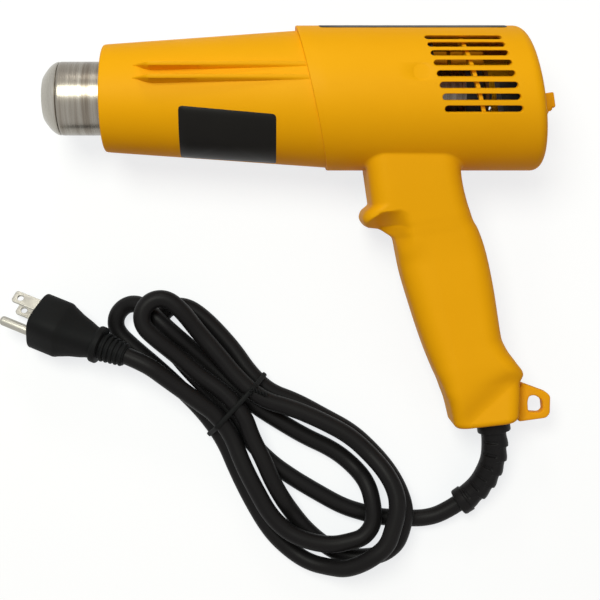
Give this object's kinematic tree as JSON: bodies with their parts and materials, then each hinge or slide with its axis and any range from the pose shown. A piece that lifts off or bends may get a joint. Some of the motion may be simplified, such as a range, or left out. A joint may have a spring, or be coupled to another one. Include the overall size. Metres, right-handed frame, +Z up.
{
  "type": "embossing heat tool",
  "caption": "Pistol-grip hot-air tool with a steel outlet, tapered finned sleeve, vented barrel, rear slide switch, hang loop, and a tied mains cord with its plug.",
  "frame": {"origin": "centre of the tool's footprint on the floor, the free cord left out", "axes": "+Z up from the floor, +X from the outlet to the hang loop, +Y towards the top of the barrel"},
  "size_m": [0.2767, 0.2696, 0.0686],
  "materials": {
    "yellow_plastic": "moulded satin",
    "amber_plastic": "moulded satin, a deeper orange",
    "steel": "drawn and brushed",
    "mica": "mica sheet",
    "heating_wire": "resistance ribbon, dull",
    "dark_plastic": "moulded black",
    "pale_plastic": "moulded pale nylon",
    "board": "circuit board",
    "cord_rubber": "smooth black sheath",
    "plug_rubber": "moulded black",
    "screw_steel": "zinc plated",
    "pin_brass": "nickel plated brass"
  },
  "bodies": {
    "tool": {"housing_left": "yellow_plastic", "housing_right": "yellow_plastic", "front_sleeve": "yellow_plastic", "nozzle_tube": "steel", "nozzle_lip": "steel", "nozzle_flange": "steel", "insulation_tube": "mica", "heater_former": "mica", "heating_ribbon": "heating_wire", "thermal_cutout": "dark_plastic", "fan_duct": "dark_plastic", "motor_can": "steel", "motor_endcap": "dark_plastic", "motor_mount": "dark_plastic", "rectifier_board": "board", "switch_body": "dark_plastic", "hang_loop": "amber_plastic", "strain_relief": "cord_rubber", "cord_inner": "cord_rubber", "cord_clamp": "pale_plastic", "clamp_screws": "screw_steel", "terminal_block": "pale_plastic", "housing_screws": "screw_steel", "cord_lead_gun": "cord_rubber", "cord_hank": "cord_rubber", "cord_lead_plug": "cord_rubber", "cord_tie": "dark_plastic", "plug_body": "plug_rubber", "plug_blades": "pin_brass", "plug_ground_pin": "pin_brass"},
    "rotor": {"motor_shaft": "steel", "fan_impeller": "dark_plastic"},
    "switch": {"switch_knob": "amber_plastic"}
  },
  "joints": [
    {"name": "fan_spin", "type": "hinge", "parent": "tool", "child": "rotor", "pos_m": [0, 0.06385, 0.0343], "axis": [1, 0, 0], "continuous": true},
    {"name": "switch_slide", "type": "slide", "parent": "tool", "child": "switch", "axis": [-0.1582, 0.9817, 0.106], "range_m": [0, 0.009]}
  ]
}
